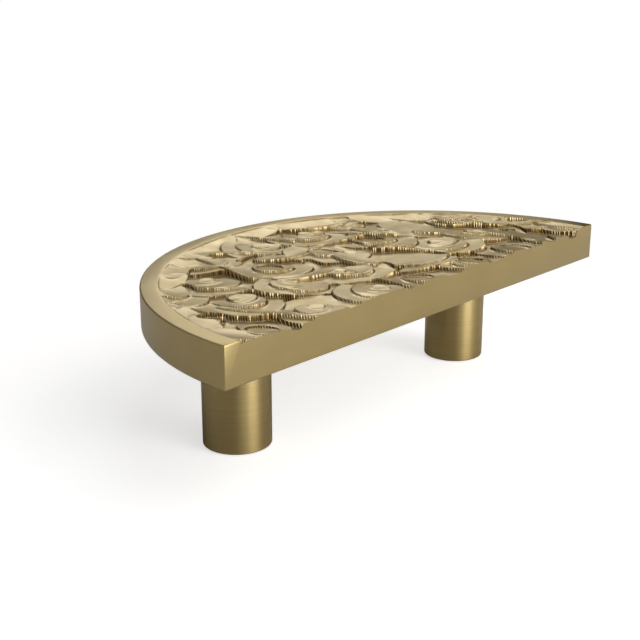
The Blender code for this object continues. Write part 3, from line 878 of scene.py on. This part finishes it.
def white_board():
    """Matt paper board, which the lamps light evenly and the pull shades."""
    material = bpy.data.materials.new("matt_white_board")
    material.use_nodes = True
    tree = material.node_tree
    board = tree.nodes["Principled BSDF"]
    board.inputs["Base Color"].default_value = colour(BOARD_COLOUR)
    board.inputs["Roughness"].default_value = 0.9
    ray = add_node(tree, "ShaderNodeLightPath").outputs
    seen = add_node(tree, "ShaderNodeMath", {0: ray["Is Camera Ray"], 1: ray["Is Transmission Ray"]},
                    operation="MAXIMUM").outputs[0]
    place = add_node(tree, "ShaderNodeTexCoord").outputs["Object"]
    out = add_node(tree, "ShaderNodeVectorMath", {0: place}, operation="LENGTH").outputs["Value"]
    near = add_node(tree, "ShaderNodeMapRange",
                    {"Value": out, "From Min": SHADOW_REACH[0], "From Max": SHADOW_REACH[1]},
                    interpolation_type="SMOOTHSTEP").outputs[0]
    far = add_node(tree, "ShaderNodeMapRange",
                   {"Value": out, "From Min": GLOSS_REACH[0], "From Max": GLOSS_REACH[1]},
                   interpolation_type="SMOOTHSTEP").outputs[0]
    near = add_node(tree, "ShaderNodeMath", {0: near, 1: seen}, operation="MULTIPLY").outputs[0]
    plain = add_node(tree, "ShaderNodeMath", {0: far, 1: ray["Is Glossy Ray"], 2: near},
                     operation="MULTIPLY_ADD").outputs[0]
    lift = add_node(tree, "ShaderNodeMath", {0: seen, 1: BOARD_LIFT}, operation="MULTIPLY").outputs[0]
    board.inputs["Emission Color"].default_value = (1, 1, 1, 1)
    tree.links.new(lift, board.inputs["Emission Strength"])
    white = add_node(tree, "ShaderNodeEmission", {"Color": (1, 1, 1, 1), "Strength": 1.0})
    mixed = add_node(tree, "ShaderNodeMixShader", {0: plain, 1: board.outputs[0], 2: white.outputs[0]})
    tree.links.new(mixed.outputs[0], tree.nodes["Material Output"].inputs["Surface"])
    return material


floor = new_object("floor", floor_mesh, [white_board()])

# The camera, and the soft boxes of a small product studio: one behind on the right that the carving
# and the rim catch, a large one high in front, and three lower ones for the straight edge and posts.
CAMERA_PLACE = Vector((-194.404, -172.254, 98.524)) * MM
CAMERA_AZIMUTH = math.radians(-47.9845)
CAMERA_ELEVATION = math.radians(17.6645)
CAMERA_LENS = 65.99             # mm, for a sensor 36 mm wide
camera_data = bpy.data.cameras.new("camera")
camera_data.lens = CAMERA_LENS
camera_data.sensor_width = 36
camera_data.clip_start = 0.01
camera = bpy.data.objects.new("camera", camera_data)
bpy.context.scene.collection.objects.link(camera)
backwards = Vector((math.sin(CAMERA_AZIMUTH) * math.cos(CAMERA_ELEVATION),
                    -math.cos(CAMERA_AZIMUTH) * math.cos(CAMERA_ELEVATION), math.sin(CAMERA_ELEVATION)))
camera.location = CAMERA_PLACE
camera.rotation_mode = "QUATERNION"
camera.rotation_quaternion = (-backwards).to_track_quat("-Z", "Y")
bpy.context.scene.camera = camera

WHITE_LIGHT = "#FFFFFF"
WARM_LIGHT = "#FFF1DC"


def soft_box(name, azimuth, elevation, distance, size, power, tint):
    """A square lamp that looks at the middle of the pull, azimuth anticlockwise from +X."""
    light = bpy.data.lights.new(name, "AREA")
    light.size = size
    light.energy = power
    light.color = colour(tint)[:3]
    made = bpy.data.objects.new(name, light)
    bpy.context.scene.collection.objects.link(made)
    turn, rise = math.radians(azimuth), math.radians(elevation)
    outward = Vector((math.cos(turn) * math.cos(rise), math.sin(turn) * math.cos(rise), math.sin(rise)))
    made.location = outward * distance
    made.rotation_mode = "QUATERNION"
    made.rotation_quaternion = (Vector((0, 0, 15 * MM)) - made.location).to_track_quat("-Z", "Y")


soft_box("key", azimuth=45, elevation=35, distance=0.60, size=0.35, power=0.62, tint=WHITE_LIGHT)
soft_box("overhead", azimuth=-48, elevation=68, distance=0.62, size=0.50, power=1.20, tint=WHITE_LIGHT)
soft_box("front", azimuth=-85, elevation=20, distance=0.55, size=0.30, power=1.05, tint=WHITE_LIGHT)
soft_box("right_front", azimuth=-45, elevation=45, distance=0.60, size=0.30, power=0.50, tint=WARM_LIGHT)
soft_box("right", azimuth=-24, elevation=24, distance=0.60, size=0.36, power=0.30, tint=WARM_LIGHT)

# White reflectors as glows in the world, one in front and a wide weak one behind on the left that
# only the metal sees: the middle of each, the cosine from there to its edge, and its strength.
REFLECTORS = (((0.04, -0.97, 0.24), 0.7, 2.4),
              ((-0.5, 0.45, 0.75), 0.35, 0.4))
world = bpy.data.worlds.new("world")
bpy.context.scene.world = world
world.use_nodes = True
tree = world.node_tree
direction = add_node(tree, "ShaderNodeTexCoord").outputs["Generated"]
ray = add_node(tree, "ShaderNodeLightPath").outputs
lobes = []
for middle, edge, power in REFLECTORS:
    towards = add_node(tree, "ShaderNodeVectorMath", {0: direction, 1: Vector(middle).normalized()},
                       operation="DOT_PRODUCT").outputs["Value"]
    lobe = add_node(tree, "ShaderNodeMapRange", {"Value": towards, "From Min": edge, "To Max": power})
    lobes.append(lobe.outputs[0])
glow = add_node(tree, "ShaderNodeMath", {0: lobes[1], 1: ray["Is Glossy Ray"], 2: lobes[0]},
                operation="MULTIPLY_ADD").outputs[0]
seen = add_node(tree, "ShaderNodeMath", {0: ray["Is Camera Ray"], 1: ray["Is Transmission Ray"]},
                operation="MAXIMUM").outputs[0]
strength = add_node(tree, "ShaderNodeMix", {0: seen, 2: glow, 3: 1.0}, data_type="FLOAT").outputs[0]
tree.nodes["Background"].inputs["Color"].default_value = colour(WHITE_LIGHT)
tree.links.new(strength, tree.nodes["Background"].inputs["Strength"])
bpy.context.scene.view_settings.view_transform = "Standard"
